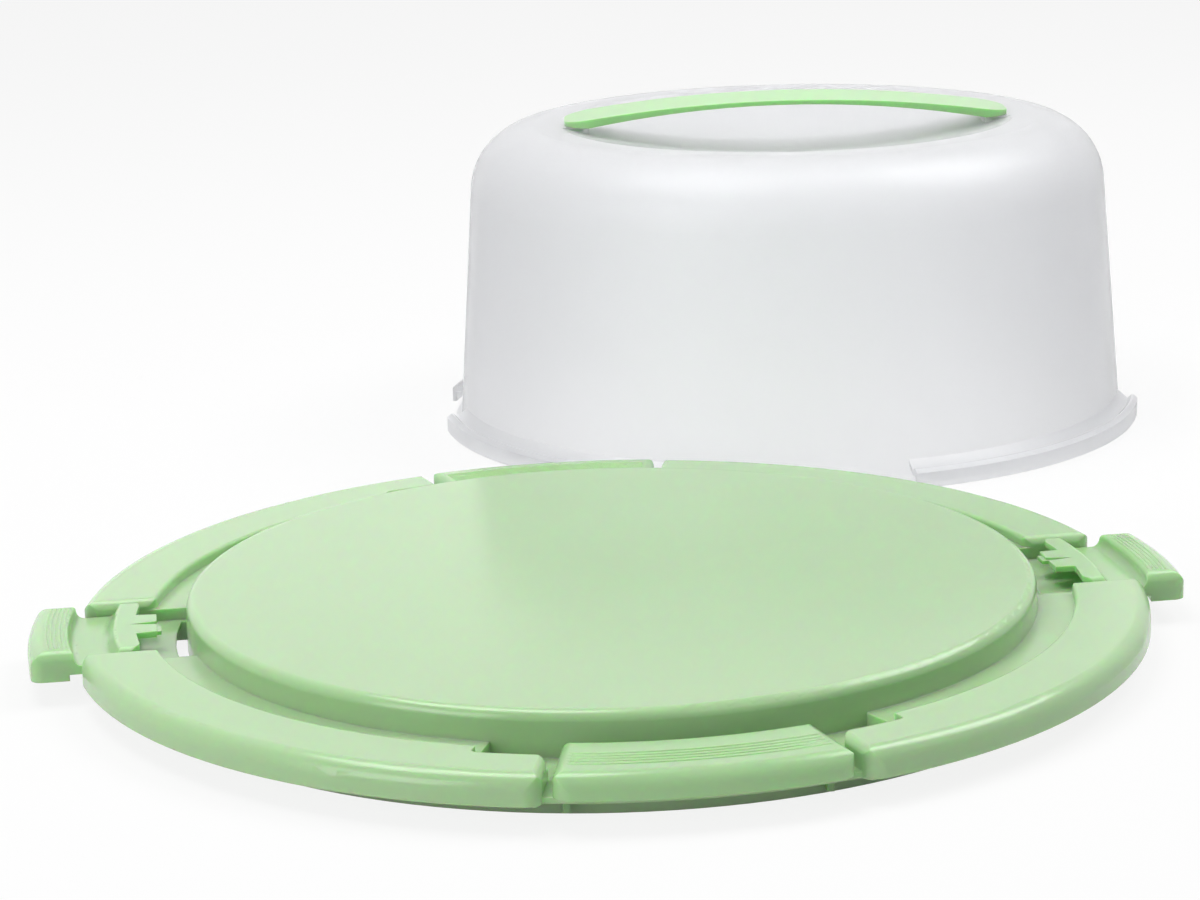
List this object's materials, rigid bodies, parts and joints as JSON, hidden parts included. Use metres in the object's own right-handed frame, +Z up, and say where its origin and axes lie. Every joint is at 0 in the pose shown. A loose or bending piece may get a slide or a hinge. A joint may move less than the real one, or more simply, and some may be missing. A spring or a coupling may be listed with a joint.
{
  "type": "cake carrier",
  "caption": "Round cake carrier: a tray with a raised plate, four sliding latches in its rim, and a frosted lift-off dome with a strap handle, standing behind the tray.",
  "frame": {"origin": "middle of the tray's foot, on the surface it stands on", "axes": "+Z up; the narrow latches slide along X, the wide latches along Y; the dome stands behind the tray at +Y"},
  "size_m": [0.4575, 0.622, 0.1334],
  "materials": {
    "tray_green": "light green moulded polypropylene, soft gloss",
    "latch_green": "light green moulded polypropylene, soft gloss, ridged grips",
    "handle_green": "pale green moulded polypropylene, soft gloss",
    "dome_frosted": "frosted translucent polypropylene"
  },
  "bodies": {
    "tray": {"base_tray": "tray_green"},
    "left_latch": {"latch_left": "latch_green"},
    "right_latch": {"latch_right": "latch_green"},
    "front_latch": {"latch_front": "latch_green"},
    "back_latch": {"latch_back": "latch_green"},
    "lid": {"lid_dome": "dome_frosted", "lid_handle": "handle_green"}
  },
  "joints": [
    {"name": "latch_left_slide", "type": "slide", "parent": "tray", "child": "left_latch", "axis": [1, 0, 0], "range_m": [0, 0.005]},
    {"name": "latch_right_slide", "type": "slide", "parent": "tray", "child": "right_latch", "axis": [-1, 0, 0], "range_m": [0, 0.005]},
    {"name": "latch_front_slide", "type": "slide", "parent": "tray", "child": "front_latch", "axis": [0, -1, 0], "range_m": [0, 0.005]},
    {"name": "latch_back_slide", "type": "slide", "parent": "tray", "child": "back_latch", "axis": [0, 1, 0], "range_m": [0, 0.005]},
    {"name": "lid_lift", "type": "slide", "parent": "tray", "child": "lid", "axis": [0, 0, 1], "range_m": [0, 0.2]}
  ]
}
